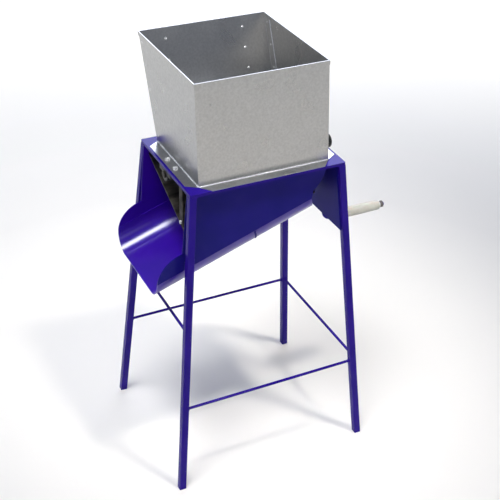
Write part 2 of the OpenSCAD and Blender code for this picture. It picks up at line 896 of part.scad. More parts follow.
module hub_screw() {
    color(bright) on_crank() translate([crank_x, hub_d / 2 + 0.5, 0])
        rotate([-90, 0, 0]) bolt(screw_d, (hub_d - shaft_d) / 2 + 0.4);
}

module crank_arm() {
    turn_z = crank_bend - crank_r;
    turn_x = crank_x + crank_bend;
    color(blue) on_crank() difference() {
        union() {
            translate([crank_x, 0, turn_z - eps]) cylinder(d = crank_d, h = -turn_z);
            intersection() {
                translate([turn_x, 0, turn_z]) rotate([90, 0, 0]) rotate_extrude()
                    translate([crank_bend, 0]) circle(d = crank_d);
                translate([turn_x - far, -far / 2, turn_z - far]) cube([far, far, far]);
            }
            translate([0, 0, -crank_r]) rod_x(turn_x - eps, grip_start - grip_end_play, crank_d / 2);
            translate([0, 0, -crank_r]) rod_x(turn_x, spindle_end, spindle_d / 2);
        }
        rod_x(crank_x - hub_l, crank_x + hub_l, hub_d / 2);
    }
}

// Grip drawn along its axis from the inner end: slight taper, rounded ends.
module grip() {
    r0 = grip_d / 2;
    r1 = grip_end_d / 2;
    soft = 4;
    ends = concat([for (a = [0 : 15 : 90]) [r0 - soft + soft * sin(a), soft - soft * cos(a)]],
        [for (a = [90 : 15 : 180]) [r1 - soft + soft * sin(a), grip_l - soft - soft * cos(a)]]);
    bore = spindle_d / 2 + grip_play;
    color(cream) on_crank() translate([grip_start, 0, -crank_r]) rotate([0, 90, 0]) rotate_extrude()
        polygon(concat([[bore, 0]], ends, [[bore, grip_l]]));
}

module grip_washer() {
    color(bright) on_crank() translate([0, 0, -crank_r]) difference() {
        rod_x(grip_end + grip_end_play, grip_end + grip_end_play + washer_t, spindle_d * 0.85);
        rod_x(grip_end, far, spindle_d / 2 + seat_gap);
    }
}

module grip_nut() {
    color(bright) on_crank() translate([grip_end + grip_end_play + washer_t, 0, -crank_r])
        rotate([0, -90, 0]) nut(spindle_d);
}

// Output

top_frame();
leg_front_left();
leg_front_right();
leg_back_left();
leg_back_right();
brace_front();
brace_back();
brace_left();
brace_right();
hopper_shell();
hopper_back();
hopper_rivets();
front_guide();
chute_front_wall();
chute_back_wall();
trough_head();
trough_spout();
trough_seam();
right_end_plate();
breast_plate();
hanger_left();
hanger_right();
breast_bolts();
breast_nuts();
bearing_left();
bearing_right();
bearing_bolts();
bearing_nuts();
shaft();
shaft_collar();
collar_screw();
drum_shell();
drum_disc_left();
drum_disc_right();
knives();
knife_screws();
crank_hub();
hub_screw();
crank_arm();
grip();
grip_washer();
grip_nut();
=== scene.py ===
"""Looks of a hand-cranked beet mill: enamelled stand and trough, galvanised hopper, steel drum, crank.

All lengths are metres in the part's own frame: +X along the drum shaft toward the crank, +Y to the
back, +Z up, with the origin on the floor.
"""

import logging
import math
from collections.abc import Iterable, Mapping, Sequence
from dataclasses import dataclass, field
from enum import Enum

import bpy
import numpy as np
from mathutils import Matrix


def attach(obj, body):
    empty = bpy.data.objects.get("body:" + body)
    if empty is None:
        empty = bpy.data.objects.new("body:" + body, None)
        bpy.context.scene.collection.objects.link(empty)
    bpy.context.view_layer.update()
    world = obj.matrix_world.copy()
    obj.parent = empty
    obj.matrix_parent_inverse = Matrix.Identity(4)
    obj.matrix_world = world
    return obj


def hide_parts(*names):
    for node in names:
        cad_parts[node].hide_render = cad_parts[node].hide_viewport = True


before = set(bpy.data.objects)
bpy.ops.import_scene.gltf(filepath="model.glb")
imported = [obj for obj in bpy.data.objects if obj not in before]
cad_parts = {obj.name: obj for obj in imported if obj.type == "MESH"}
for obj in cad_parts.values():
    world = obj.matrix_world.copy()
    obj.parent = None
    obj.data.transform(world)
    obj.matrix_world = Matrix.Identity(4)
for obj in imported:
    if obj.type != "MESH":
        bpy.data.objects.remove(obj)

LOG = logging.getLogger("beet_mill")
MM = 0.001
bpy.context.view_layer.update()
# From the middle of the stand, where its sizes start, to the part's own frame.
PART_OFFSET = np.array([-71.8, -4.5375, 0.0]) * MM
# Top of the stand's frame, which carries the hopper.
FRAME_TOP = 915 * MM
# At a scale of one, Blender's Wave texture repeats every tau / 20.
WAVE_REPEAT = math.tau / 20
# A direction counts as steep when more than this share of it points up or down.
STEEP = 0.8
# A fillet has this many points across its arc, swells by this share in its middle,
# and sinks by this share of its leg into both faces, so that no gap shows.
FILLET_POINTS = 6
FILLET_SWELL = 2 / 13
FILLET_SUNK = 0.12

Links = Mapping[str | int, bpy.types.NodeSocket]
Values = Mapping[str | int, object]
Tube = tuple[np.ndarray, bool]


class Slot(Enum):
    """Names of the record's material slots."""

    ENAMEL = "blue_enamel"
    GALVANISED = "galvanised_sheet"


class Body(Enum):
    """The part's bodies that a sub-assembly can fix its new pieces to."""

    STAND = "stand"
    CRANK = "crank"


def linear(hex_colour: str) -> tuple[float, float, float, float]:
    """Turns an sRGB hex colour into linear light.

    Args:
        hex_colour: six hex digits, with or without a leading hash.

    Returns:
        Linear red, green, blue and an alpha of 1.
    """
    code = np.array([int(hex_colour.lstrip("#")[i : i + 2], 16) for i in (0, 2, 4)]) / 255
    light = np.where(code <= 0.04045, code / 12.92, ((code + 0.055) / 1.055) ** 2.4)
    return (*(float(x) for x in light), 1.0)


def per_metre(size_mm: float) -> float:
    """Gives a texture scale whose pattern repeats about every size_mm."""
    return 1000 / size_mm


def add_node(
    tree: bpy.types.NodeTree,
    kind: str,
    links: Links | None = None,
    values: Values | None = None,
    stops: Sequence[tuple[float, str]] = (),
    **settings: object,
) -> bpy.types.Node:
    """Adds one node with its settings, socket values, colour stops and incoming links.

    Args:
        tree: the node tree that takes the node.
        kind: Blender's name of the node type.
        links: output sockets to join to the node's inputs, by input name or number.
        values: default values of the node's inputs, by input name or number.
        stops: positions and sRGB colours of a colour ramp, in rising order.
        **settings: properties of the node itself.

    Returns:
        The new node.
    """
    node = tree.nodes.new(kind)
    for name, value in settings.items():
        setattr(node, name, value)
    for key, value in (values or {}).items():
        node.inputs[key].default_value = value
    for key, socket in (links or {}).items():
        tree.links.new(socket, node.inputs[key])
    if stops:
        ramp = node.color_ramp.elements
        for position, _ in stops[1:-1]:
            ramp.new(position)
        for element, (position, colour) in zip(ramp, stops):
            element.position = position
            element.color = linear(colour)
    return node


@dataclass(frozen=True)
class Finish:
    """A surface finish that builds one procedural material on Object coordinates."""

    name: str

    def build(self) -> bpy.types.Material:
        """Makes the material from what the finish wires into the shader.

        Returns:
            The finished material.
        """
        material = bpy.data.materials.new(self.name)
        material.use_nodes = True
        tree = material.node_tree
        tree.nodes.clear()
        place = add_node(tree, "ShaderNodeTexCoord").outputs["Object"]
        shader = add_node(tree, "ShaderNodeBsdfPrincipled", *self.wire(tree, place))
        add_node(tree, "ShaderNodeOutputMaterial", {"Surface": shader.outputs["BSDF"]})
        return material

    def wire(self, tree: bpy.types.NodeTree, place: bpy.types.NodeSocket) -> tuple[Links, Values]:
        """Gives the shader nothing, because a bare finish has no nodes of its own."""
        return {}, {}


@dataclass(frozen=True)
class GlossEnamel(Finish):
    """Stoved alkyd enamel on steel: deep violet blue, wet gloss over a fine orange peel.

    The eye sees saturated violet where the key light falls, pale sky on faces that look up, and a
    slow wave in the reflections where the coat levelled unevenly. Orange peel of a millimetre or two
    is drawn at 5 mm, so that it shows in the render.
    """

    deep: str = "#24107f"
    thin: str = "#2b1488"
    tone_span: tuple[float, float] = (0.35, 0.68)
    cloud_mm: float = 90.0
    roughness: tuple[float, float] = (0.16, 0.26)
    peel_mm: float = 5.0
    peel_depth_mm: float = 0.3
    peel_strength: float = 0.05
    ior: float = 1.48
    gloss: float = 0.12
    coat: float = 0.0
    coat_roughness: float = 0.16
    brake_lines: bool = False
    brake_pitch_mm: float = 7.0
    brake_depth_mm: float = 0.4
    brake_strength: float = 0.06
    brake_waver: float = 0.6

    def wire(self, tree: bpy.types.NodeTree, place: bpy.types.NodeSocket) -> tuple[Links, Values]:
        """Mixes coat depth over clouds, and bumps the gloss with orange peel and press-brake lines.

        Args:
            tree: the material's node tree.
            place: Object coordinates.

        Returns:
            The shader's links and values.
        """
        cloud = add_node(
            tree,
            "ShaderNodeTexNoise",
            {"Vector": place},
            {"Scale": per_metre(self.cloud_mm), "Detail": 3.0},
        )
        depth = add_node(
            tree,
            "ShaderNodeValToRGB",
            {"Fac": cloud.outputs["Fac"]},
            stops=tuple(zip(self.tone_span, (self.deep, self.thin))),
        )
        sheen = add_node(
            tree,
            "ShaderNodeMapRange",
            {"Value": cloud.outputs["Fac"]},
            {"To Min": self.roughness[0], "To Max": self.roughness[1]},
        )
        peel = add_node(
            tree,
            "ShaderNodeTexNoise",
            {"Vector": place},
            {"Scale": per_metre(self.peel_mm), "Detail": 1.0},
        )
        bump = add_node(
            tree,
            "ShaderNodeBump",
            {"Height": peel.outputs["Fac"]},
            {"Strength": self.peel_strength, "Distance": self.peel_depth_mm * MM},
        )
        if self.brake_lines:
            scale = per_metre(self.brake_pitch_mm) * WAVE_REPEAT
            lines = add_node(
                tree,
                "ShaderNodeTexWave",
                {"Vector": place},
                {"Scale": scale, "Distortion": self.brake_waver, "Detail": 1.0},
                bands_direction="Y",
            )
            bump = add_node(
                tree,
                "ShaderNodeBump",
                {"Height": lines.outputs["Fac"], "Normal": bump.outputs["Normal"]},
                {"Strength": self.brake_strength, "Distance": self.brake_depth_mm * MM},
            )
        links = {
            "Base Color": depth.outputs["Color"],
            "Roughness": sheen.outputs["Result"],
            "Normal": bump.outputs["Normal"],
        }
        values = {
            "IOR": self.ior,
            "Specular IOR Level": self.gloss,
            "Coat Weight": self.coat,
            "Coat Roughness": self.coat_roughness,
        }
        return links, values


@dataclass(frozen=True)
class GalvanisedSheet(Finish):
    """Hot-dip galvanised steel sheet: satin grey metal with small, frost-like zinc spangles.

    The eye sees a soft grey that mirrors what is near, such as the blue frame at the base, and
    close up a fine mottle of crystals under slow clouds. Real spangles of 2 to 3 mm are drawn at
    twice their size, so that they show in the render.
    """

    dark: str = "#bcbcba"
    light: str = "#cacac8"
    tone_span: tuple[float, float] = (0.34, 0.66)
    roughness: tuple[float, float] = (0.27, 0.32)
    roughness_span: tuple[float, float] = (0.3, 0.7)
    spangle_mm: float = 6.0
    cloud_mm: float = 70.0
    cloud_share: float = 0.2
    cloud_depth_mm: float = 0.5
    cloud_strength: float = 0.015
    metallic: float = 0.92

    def wire(self, tree: bpy.types.NodeTree, place: bpy.types.NodeSocket) -> tuple[Links, Values]:
        """Adds a fine crystal mottle to slow clouds, for tone, gloss and a faint bump.

        Args:
            tree: the material's node tree.
            place: Object coordinates.

        Returns:
            The shader's links and values.
        """
        spangle = add_node(
            tree,
            "ShaderNodeTexNoise",
            {"Vector": place},
            {"Scale": per_metre(self.spangle_mm), "Detail": 2.0},
        )
        cloud = add_node(
            tree,
            "ShaderNodeTexNoise",
            {"Vector": place},
            {"Scale": per_metre(self.cloud_mm), "Detail": 1.0},
        )
        # Inputs 2 and 3 are the two numbers that the node mixes.
        mottle = add_node(
            tree,
            "ShaderNodeMix",
            {2: spangle.outputs["Fac"], 3: cloud.outputs["Fac"]},
            {"Factor": self.cloud_share},
        )
        tone = add_node(
            tree,
            "ShaderNodeValToRGB",
            {"Fac": mottle.outputs[0]},
            stops=tuple(zip(self.tone_span, (self.dark, self.light))),
        )
        sheen = add_node(
            tree,
            "ShaderNodeMapRange",
            {"Value": cloud.outputs["Fac"]},
            {
                "From Min": self.roughness_span[0],
                "From Max": self.roughness_span[1],
                "To Min": self.roughness[0],
                "To Max": self.roughness[1],
            },
        )
        bump = add_node(
            tree,
            "ShaderNodeBump",
            {"Height": cloud.outputs["Fac"]},
            {"Strength": self.cloud_strength, "Distance": self.cloud_depth_mm * MM},
        )
        links = {
            "Base Color": tone.outputs["Color"],
            "Roughness": sheen.outputs["Result"],
            "Normal": bump.outputs["Normal"],
        }
        return links, {"Metallic": self.metallic}


@dataclass(frozen=True)
class WorkedMetal(Finish):
    """Bare or plated metal with a grain: rolled plate, ground blades, cast blocks, bright fasteners.

    The eye sees a grain that runs one way, darker specks where scale or oil stayed, and a gloss that
    changes along the grain. Grinding marks and casting grain finer than half a millimetre are drawn
    1 to 3 mm wide, so that they show in the render.
    """

    dark: str
    light: str
    roughness: tuple[float, float]
    grain_mm: tuple[float, float, float]
    tone_span: tuple[float, float] = (0.3, 0.7)
    metallic: float = 1.0
    gloss: float = 0.5
    grain_depth_mm: float = 0.1
    grain_strength: float = 0.3

    def wire(self, tree: bpy.types.NodeTree, place: bpy.types.NodeSocket) -> tuple[Links, Values]:
        """Stretches one noise into a grain and lets it drive tone, gloss and bump.

        Args:
            tree: the material's node tree.
            place: Object coordinates.

        Returns:
            The shader's links and values.
        """
        along = add_node(
            tree,
            "ShaderNodeMapping",
            {"Vector": place},
            {"Scale": tuple(per_metre(size) for size in self.grain_mm)},
        )
        grain = add_node(
            tree,
            "ShaderNodeTexNoise",
            {"Vector": along.outputs["Vector"]},
            {"Scale": 1.0, "Detail": 4.0},
        )
        tone = add_node(
            tree,
            "ShaderNodeValToRGB",
            {"Fac": grain.outputs["Fac"]},
            stops=tuple(zip(self.tone_span, (self.dark, self.light))),
        )
        sheen = add_node(
            tree,
            "ShaderNodeMapRange",
            {"Value": grain.outputs["Fac"]},
            {"To Min": self.roughness[1], "To Max": self.roughness[0]},
        )
        bump = add_node(
            tree,
            "ShaderNodeBump",
            {"Height": grain.outputs["Fac"]},
            {"Strength": self.grain_strength, "Distance": self.grain_depth_mm * MM},
        )
        links = {
            "Base Color": tone.outputs["Color"],
            "Roughness": sheen.outputs["Result"],
            "Normal": bump.outputs["Normal"],
        }
        return links, {"Metallic": self.metallic, "Specular IOR Level": self.gloss}


@dataclass(frozen=True)
class MouldedPlastic(Finish):
    """Injection-moulded polypropylene: cream and waxy, with a faint flow mottle and a fine matt grain.

    The eye sees a soft, slightly see-through cream whose highlights are broad. The mould's grain of
    about 0.2 mm is drawn at 1.2 mm, so that it shows in the render.
    """

    deep: str = "#c6c2b4"
    pale: str = "#d3d0c5"
    tone_span: tuple[float, float] = (0.3, 0.7)
    roughness: tuple[float, float] = (0.34, 0.46)
    flow_mm: float = 25.0
    grain_mm: float = 1.2
    grain_depth_mm: float = 0.1
    grain_strength: float = 0.12
    ior: float = 1.49
    glow_through: float = 0.12
    glow_depth_mm: float = 2.0

    def wire(self, tree: bpy.types.NodeTree, place: bpy.types.NodeSocket) -> tuple[Links, Values]:
        """Mottles the colour along the flow and adds the mould's fine grain.

        Args:
            tree: the material's node tree.
            place: Object coordinates.

        Returns:
            The shader's links and values.
        """
        flow = add_node(
            tree,
            "ShaderNodeTexNoise",
            {"Vector": place},
            {"Scale": per_metre(self.flow_mm), "Detail": 3.0},
        )
        tone = add_node(
            tree,
            "ShaderNodeValToRGB",
            {"Fac": flow.outputs["Fac"]},
            stops=tuple(zip(self.tone_span, (self.deep, self.pale))),
        )
        sheen = add_node(
            tree,
            "ShaderNodeMapRange",
            {"Value": flow.outputs["Fac"]},
            {"To Min": self.roughness[0], "To Max": self.roughness[1]},
        )
        grain = add_node(
            tree,
            "ShaderNodeTexNoise",
            {"Vector": place},
            {"Scale": per_metre(self.grain_mm), "Detail": 1.0},
        )
        bump = add_node(
            tree,
            "ShaderNodeBump",
            {"Height": grain.outputs["Fac"]},
            {"Strength": self.grain_strength, "Distance": self.grain_depth_mm * MM},
        )
        links = {
            "Base Color": tone.outputs["Color"],
            "Roughness": sheen.outputs["Result"],
            "Normal": bump.outputs["Normal"],
        }
        values = {
            "IOR": self.ior,
            "Subsurface Weight": self.glow_through,
            "Subsurface Scale": self.glow_depth_mm * MM,
        }
        return links, values


@dataclass(frozen=True)
class PaleFloor(Finish):
    """Seamless studio paper: near white and matt, with tone that wanders a little.

    Away from the part it glows faintly, as a back-lit cove does, and so stays pale to the horizon.
    """

    deep: str = "#eeebe3"
    pale: str = "#f2efe7"
    wander_mm: float = 500.0
    glow_from_to: tuple[float, float] = (1.4, 3.1)
    glow: float = 0.53
    roughness: float = 0.9
    gloss: float = 0.1

    def wire(self, tree: bpy.types.NodeTree, place: bpy.types.NodeSocket) -> tuple[Links, Values]:
        """Lets the paper's tone wander, and its glow grow with the distance from the middle.

        Args:
            tree: the material's node tree.
            place: Object coordinates.

        Returns:
            The shader's links and values.
        """
        wander = add_node(
            tree, "ShaderNodeTexNoise", {"Vector": place}, {"Scale": per_metre(self.wander_mm)}
        )
        tone = add_node(
            tree,
            "ShaderNodeValToRGB",
            {"Fac": wander.outputs["Fac"]},
            stops=((0.0, self.deep), (1.0, self.pale)),
        )
        away = add_node(tree, "ShaderNodeVectorMath", {"Vector": place}, operation="LENGTH")
        near, far = self.glow_from_to
        cove = add_node(
            tree,
            "ShaderNodeMapRange",
            {"Value": away.outputs["Value"]},
            {"From Min": near, "From Max": far, "To Max": self.glow},
        )
        links = {"Base Color": tone.outputs["Color"], "Emission Strength": cove.outputs["Result"]}
        values = {
            "Emission Color": linear(self.pale),
            "Roughness": self.roughness,
            "Specular IOR Level": self.gloss,
        }
        return links, values


class Paintbox:
    """The finishes of the mill, built once and handed out by name."""

    def __init__(self) -> None:
        """Builds every material."""
        # Tubes, rods and frame: violet blue that goes nearly black in the shade.
        self.enamel = GlossEnamel("Stoved enamel, violet blue").build()
        # Bent sheet: a wet top coat that draws a bright streak down the trough. Its violet is painted
        # lighter than the stand's enamel: a lit copy of the enamel, painted light that stands in for sun
        # on the spout. Each stroke of the press brake has left a faint line beside the last one.
        self.sunlit_trough_enamel = GlossEnamel(
            "Stoved enamel painted sunlit, on press-brake bends",
            deep="#30089a",
            thin="#390ca2",
            roughness=(0.26, 0.34),
            gloss=0.5,
            coat=0.7,
            brake_lines=True,
        ).build()
        # The chute's back wall: as violet as the trough, with a weaker shine. The lighter violet is
        # painted light, a lit copy of the enamel that stands in for sun on the spout's back wall.
        self.sunlit_wall_enamel = GlossEnamel(
            "Stoved enamel painted sunlit, inside the chute",
            deep="#30089a",
            thin="#390ca2",
            roughness=(0.26, 0.34),
            gloss=0.25,
        ).build()
        # Flat sheet: a calm navy, even over the whole face. The navy is painted shade, a darker copy of
        # the violet enamel for faces that turn away from the key light.
        self.shaded_sheet_enamel = GlossEnamel(
            "Stoved enamel painted in shade, on flat sheet", deep="#171572", thin="#1e187b"
        ).build()
        # The end plate: a duller coat that stays dark where a glossy one would mirror the floor. Its
        # navy is painted shade, the same darker copy of the enamel as the flat sheet.
        self.shaded_plate_enamel = GlossEnamel(
            "Stoved enamel painted in shade, dulled",
            deep="#171572",
            thin="#1e187b",
            roughness=(0.38, 0.48),
            gloss=0.04,
        ).build()
        # Zinc sheet: satin grey that takes up the tone of what stands round it.
        self.galvanised = GalvanisedSheet("Hot-dip galvanised sheet").build()
        # Sheared edges and sharp bends: pale, half-matt zinc, a painted highlight that stands in for
        # the light that their rounds catch.
        self.highlight_zinc = GalvanisedSheet(
            "Zinc painted with a highlight, on edges and bends",
            dark="#d6d9de",
            light="#eceef0",
            roughness=(0.35, 0.45),
            metallic=0.45,
        ).build()
        # Rolled plate: brown-grey patches of mill scale, darkened further as painted shade for the
        # inside of the mill.
        self.steel = WorkedMetal(
            "Mill-scaled steel plate, darkened as painted shade",
            dark="#191715",
            light="#57524b",
            metallic=0.5,
            roughness=(0.4, 0.6),
            gloss=0.2,
            grain_mm=(60.0, 22.0, 22.0),
        ).build()
        # Cast blocks and hub: black paint over a pebbled skin.
        self.iron = WorkedMetal(
            "Black-painted cast iron",
            dark="#0c0c0d",
            light="#1b1c1e",
            metallic=0.0,
            roughness=(0.35, 0.5),
            grain_mm=(1.4, 1.4, 1.4),
            grain_depth_mm=0.25,
        ).build()
        # Blades: bright steel with grinding marks across their length.
        self.knife = WorkedMetal(
            "Ground blade steel",
            dark="#9b9c9e",
            light="#c2c3c4",
            roughness=(0.2, 0.34),
            grain_mm=(0.9, 12.0, 12.0),
        ).build()
        # Bolts, rivets and screws: zinc plate drawn pale and mostly matt, a painted highlight, so that
        # they show as small pale points from any side.
        self.plated = WorkedMetal(
            "Fastener steel, zinc-plated and painted pale as a glint",
            dark="#d2d3d4",
            light="#f0f0ee",
            metallic=0.25,
            roughness=(0.22, 0.34),
            grain_mm=(3.0, 3.0, 3.0),
        ).build()
        # The grip's nut: turned steel, browned by oil.
        self.oiled = WorkedMetal(
            "Oiled machined steel",
            dark="#4a4441",
            light="#8b8683",
            metallic=0.7,
            roughness=(0.28, 0.42),
            grain_mm=(1.5, 12.0, 12.0),
        ).build()
        # The grip: cream plastic with broad, soft highlights.
        self.plastic = MouldedPlastic("Moulded polypropylene, cream").build()
        # The floor: matt paper that takes soft shadows.
        self.floor = PaleFloor("Studio paper").build()


def grid_faces(rows: int, columns: int, round_rows: bool, round_columns: bool) -> np.ndarray:
    """Lists the quads of a grid of points.

    Args:
        rows: points along the first parameter.
        columns: points along the second parameter.
        round_rows: whether the last row joins the first.
        round_columns: whether the last column joins the first.

    Returns:
        Vertex numbers, four to a face.
    """
    i = np.arange(rows if round_rows else rows - 1)
    j = np.arange(columns if round_columns else columns - 1)
    a, b = (x.ravel() for x in np.meshgrid(i, j, indexing="ij"))
    a1, b1 = (a + 1) % rows, (b + 1) % columns
    return np.stack([a * columns + b, a1 * columns + b, a1 * columns + b1, a * columns + b1], axis=1)


def closed_mesh(name: str, tubes: Iterable[Tube]) -> bpy.types.Object:
    """Makes one object from closed tubes, with every face turned outwards.

    A tube is a grid of points: rows along its path, columns round its profile. An open path is
    closed by a face at each end. The sign of the enclosed volume says which way the faces look.

    Args:
        name: the object's name.
        tubes: grids of shape (rows, columns, 3), each with whether its path is a ring.

    Returns:
        The new object, at the origin.
    """
    points: list[np.ndarray] = []
    faces: list[list[int]] = []
    start = 0
    for grid, ring in tubes:
        rows, columns, _ = grid.shape
        flat = grid.reshape(-1, 3)
        quads = grid_faces(rows, columns, ring, True)
        a, b, c, d = (flat[quads[:, k]] - flat[0] for k in range(4))
        volume = np.einsum("ij,ij->", a, np.cross(b, c) + np.cross(c, d))
        order = -1 if volume < 0 else 1
        faces += (quads[:, ::order] + start).tolist()
        if not ring:
            first = np.arange(columns) + start
            last = first[::-1] + (rows - 1) * columns
            faces += [first[::order].tolist(), last[::order].tolist()]
        points.append(flat)
        start += len(flat)
    mesh = bpy.data.meshes.new(name)
    mesh.from_pydata(np.concatenate(points).tolist(), [], faces)
    mesh.polygons.foreach_set("use_smooth", np.ones(len(mesh.polygons), dtype=bool))
    mesh.update()
    piece = bpy.data.objects.new(name, mesh)
    bpy.context.scene.collection.objects.link(piece)
    return piece


def corner_fillet(
    path: np.ndarray,
    side_a: np.ndarray,
    side_b: np.ndarray,
    leg: float,
    ring: bool,
    ripple: float = 0.10,
    pitch: float = 2.4 * MM,
) -> np.ndarray:
    """Lays a fillet in a corner: a rippled weld, or a plain bend where the ripple is nought.

    At each point of the path the profile runs from the corner along one face, over a bulging arc
    to the other face and back. The arc's radius is the fillet's leg, times one plus a ripple that
    is a cosine of the way along the path, times one plus a swell that is a sine of twice the angle
    round the corner.

    Args:
        path: points along the corner, of shape (rows, 3).
        side_a: unit vectors that lie in the first face and leave the corner, of the same shape.
        side_b: the same for the second face.
        leg: how far the fillet reaches along each face.
        ring: whether the path closes on itself.
        ripple: how much the bead swells and shrinks.
        pitch: length of one ripple.

    Returns:
        A grid of points for closed_mesh.
    """
    follow = np.roll(path, -1, axis=0) if ring else np.concatenate([path[1:], path[-1:]])
    step = np.linalg.norm(follow - path, axis=1)
    way = np.concatenate([[0.0], np.cumsum(step)[:-1]])
    total = step.sum()
    waves = max(1, round(total / pitch))
    size = leg * (1 + ripple * np.cos(math.tau * waves * way / total))
    turn = np.linspace(0, math.pi / 2, FILLET_POINTS)
    swell = 1 + FILLET_SWELL * np.sin(2 * turn)
    across = np.concatenate([[0.0], swell * np.cos(turn)])
    up = np.concatenate([[0.0], swell * np.sin(turn)])
    profile = across[None, :, None] * side_a[:, None, :] + up[None, :, None] * side_b[:, None, :]
    sunk = FILLET_SUNK * leg * (side_a + side_b)
    return (path - sunk)[:, None, :] + size[:, None, None] * profile


def helper_axis(axis: np.ndarray) -> np.ndarray:
    """Gives an axis that a unit vector doesn't run along: +Z, or +Y where the vector is steep."""
    return np.array([0.0, 1.0, 0.0] if abs(axis[2]) > STEEP else [0.0, 0.0, 1.0])


def ring_points(
    centre: np.ndarray, axis: np.ndarray, radius: float, count: int
) -> tuple[np.ndarray, np.ndarray]:
    """Spaces points evenly round a circle.

    Args:
        centre: the circle's middle.
        axis: unit vector square to the circle.
        radius: the circle's radius.
        count: how many points.

    Returns:
        The points, and the unit vectors that lead outward to them.
    """
    first = np.cross(axis, helper_axis(axis))
    first /= np.linalg.norm(first)
    second = np.cross(axis, first)
    turn = np.linspace(0, math.tau, count, endpoint=False)
    out = np.cos(turn)[:, None] * first + np.sin(turn)[:, None] * second
    return centre + radius * out, out


def placing(right: np.ndarray, up: np.ndarray, at: tuple[float, float, float]) -> Matrix:
    """Places a lamp or a camera by its own axes.

    Args:
        right: unit vector of its own +X.
        up: unit vector of its own +Y.
        at: where it is.

    Returns:
        Its world matrix. It looks along its own -Z.
    """
    turn = Matrix(np.stack([right, up, np.cross(right, up)], axis=1).tolist()).to_4x4()
    turn.translation = at
    return turn


@dataclass
class SubAssembly:
    """A group of pieces that is built and dressed together."""

    paint: Paintbox
    body: Body = Body.STAND
    pieces: list[bpy.types.Object] = field(default_factory=list)

    def dress(self, finish: bpy.types.Material, *nodes: str) -> None:
        """Gives CAD nodes one finish in all their material slots.

        Args:
            finish: the material.
            *nodes: names of the CAD nodes.
        """
        for name in nodes:
            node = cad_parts[name]
            node.data.materials.clear()
            node.data.materials.append(finish)
            self.pieces.append(node)

    def add(
        self, piece: bpy.types.Object, finish: bpy.types.Material, slot: Slot, *stands_for: str
    ) -> None:
        """Dresses a new piece and fixes it to the sub-assembly's body.

        Args:
            piece: the new object.
            finish: its material.
            slot: the record's slot that the finish belongs to; not used.
            *stands_for: CAD nodes that the piece replaces.
        """
        piece.data.materials.append(finish)
        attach(piece, self.body.value)
        if stands_for:
            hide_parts(*stands_for)
        self.pieces.append(piece)

    def report(self) -> None:
        """Logs each piece of the sub-assembly."""
        for piece in self.pieces:
            LOG.info("%s: %s", type(self).__name__, piece.name)


@dataclass
class Stand(SubAssembly):
    """Top frame, four splayed tube legs, four round braces and the welds that hold them."""

    frame_w: float = 450 * MM
    frame_d: float = 343 * MM
    frame_h: float = FRAME_TOP
    bar_t: float = 8 * MM
    leg_size: float = 20 * MM
    splay_x: float = 76 * MM
    splay_y: float = 82 * MM
    brace_r: float = 4 * MM
    brace_front_h: float = 267 * MM
    brace_back_h: float = 285 * MM
    brace_left_h: float = 510 * MM
    brace_right_h: float = 288 * MM
    weld: float = 3 * MM
    ring_count: int = 48
    run_count: int = 60
    run_share: float = 0.92

    def leg_axis(self, side_x: int, side_y: int, height: float) -> np.ndarray:
        """Finds the middle of a leg at a height, in the part's frame.

        Args:
            side_x: -1 for the left legs, 1 for the right.
            side_y: -1 for the front legs, 1 for the back.
            height: height over the floor.

        Returns:
            The point on the leg's middle line.
        """
        drop = (self.frame_h - height) / self.frame_h
        x = self.frame_w / 2 - self.leg_size / 2 + self.splay_x * drop
        y = self.frame_d / 2 - self.leg_size / 2 + self.splay_y * drop
        return PART_OFFSET + [side_x * x, side_y * y, height]

    def brace_welds(self) -> bpy.types.Object:
        """Rings each brace end with a fillet against the leg's face.

        Returns:
            The object with all eight rings.
        """
        tubes: list[Tube] = []
        lean = np.array([self.splay_x, self.splay_y]) / self.frame_h
        # The front and back braces run along X, which is axis 0, the others along Y, which is axis 1.
        ends = [
            (sx, sy, height, 0)
            for sy, height in ((-1, self.brace_front_h), (1, self.brace_back_h))
            for sx in (-1, 1)
        ] + [
            (sx, sy, height, 1)
            for sx, height in ((-1, self.brace_left_h), (1, self.brace_right_h))
            for sy in (-1, 1)
        ]
        for sx, sy, height, along in ends:
            sign = (sx, sy)[along]
            inward = np.zeros(3)
            inward[along] = -sign
            face = self.leg_axis(sx, sy, height)
            face[along] -= sign * self.leg_size / 2 * math.hypot(1, lean[along])
            path, out = ring_points(face, inward, self.brace_r, self.ring_count)
            path[:, along] += sign * lean[along] * (face[2] - path[:, 2])
            sides = np.tile(inward, (self.ring_count, 1))
            tubes.append((corner_fillet(path, out, sides, self.weld, True), True))
        return closed_mesh("brace_welds", tubes)

    def leg_welds(self) -> bpy.types.Object:
        """Runs a fillet along each leg's top against the frame's underside, on its two inner sides.

        Returns:
            The object with all eight fillets.
        """
        tubes: list[Tube] = []
        under = self.frame_h - self.bar_t
        reach = self.leg_size / 2
        run = np.linspace(-self.run_share, self.run_share, self.run_count) * reach
        down = np.tile([0.0, 0.0, -1.0], (self.run_count, 1))
        for sx in (-1, 1):
            for sy in (-1, 1):
                middle = self.leg_axis(sx, sy, under)
                for along in (0, 1):
                    inward = np.zeros(3)
                    inward[1 - along] = -(sx, sy)[1 - along]
                    path = np.tile(middle + inward * reach, (self.run_count, 1))
                    path[:, along] += run
                    sides = np.tile(inward, (self.run_count, 1))
                    tubes.append((corner_fillet(path, sides, down, self.weld, False), False))
        return closed_mesh("leg_welds", tubes)

    def build(self) -> None:
        """Dresses the frame, legs and braces, and adds their welds."""
        self.dress(
            self.paint.enamel,
            "top_frame",
            "leg_front_left",
            "leg_front_right",
            "leg_back_left",
            "leg_back_right",
            "brace_front",
            "brace_back",
            "brace_left",
            "brace_right",
        )
        self.add(self.brace_welds(), self.paint.enamel, Slot.ENAMEL)
        self.add(self.leg_welds(), self.paint.enamel, Slot.ENAMEL)


